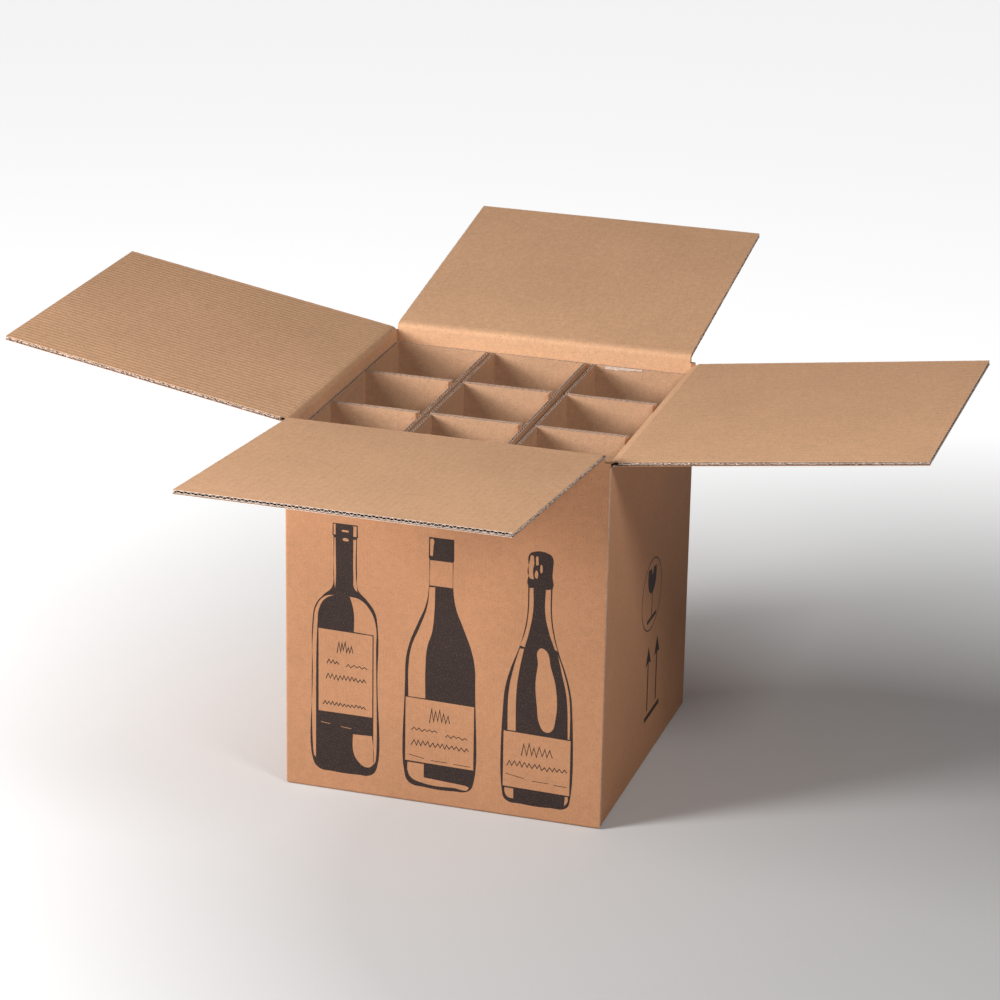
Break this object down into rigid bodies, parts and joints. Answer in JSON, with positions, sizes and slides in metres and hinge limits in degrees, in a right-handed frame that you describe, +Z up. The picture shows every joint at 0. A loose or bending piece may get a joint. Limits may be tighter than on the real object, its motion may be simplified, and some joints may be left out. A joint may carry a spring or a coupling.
{
  "type": "bottle shipping box",
  "caption": "Square corrugated carton with four full-length top flaps standing open and folded column inserts that hold bottles upright in a three by three grid.",
  "frame": {"origin": "on the floor under the middle of the carton's four walls", "axes": "+X to the right along the printed front face, +Y from the front to the back, +Z up; the carton stands on its closed bottom flaps"},
  "size_m": [0.8843, 0.8727, 0.4204],
  "materials": {
    "carton_board": "double-wall kraft corrugated board, matt, printed in one dark ink",
    "insert_board": "single-wall kraft corrugated board, matt, unprinted"
  },
  "bodies": {
    "carton": {"carton_body": "carton_board", "insert_left": "insert_board", "insert_middle": "insert_board", "insert_right": "insert_board"},
    "top_flap_front": {"top_flap_front": "carton_board"},
    "top_flap_left": {"top_flap_left": "carton_board"},
    "top_flap_back": {"top_flap_back": "carton_board"},
    "top_flap_right": {"top_flap_right": "carton_board"}
  },
  "joints": [
    {"name": "top_flap_front_crease", "type": "hinge", "parent": "carton", "child": "top_flap_front", "pos_m": [0, -0.1568, 0.3687], "axis": [-1, 0, 0], "range_deg": [-94.6, 166.4]},
    {"name": "top_flap_left_crease", "type": "hinge", "parent": "carton", "child": "top_flap_left", "pos_m": [-0.1568, 0, 0.36435], "axis": [0, 1, 0], "range_deg": [-99.4, 170.1]},
    {"name": "top_flap_back_crease", "type": "hinge", "parent": "carton", "child": "top_flap_back", "pos_m": [0, 0.1568, 0.3687], "axis": [1, 0, 0], "range_deg": [-99.2, 170.3]},
    {"name": "top_flap_right_crease", "type": "hinge", "parent": "carton", "child": "top_flap_right", "pos_m": [0.1568, 0, 0.36], "axis": [0, -1, 0], "range_deg": [-96.7, 172.8]}
  ]
}
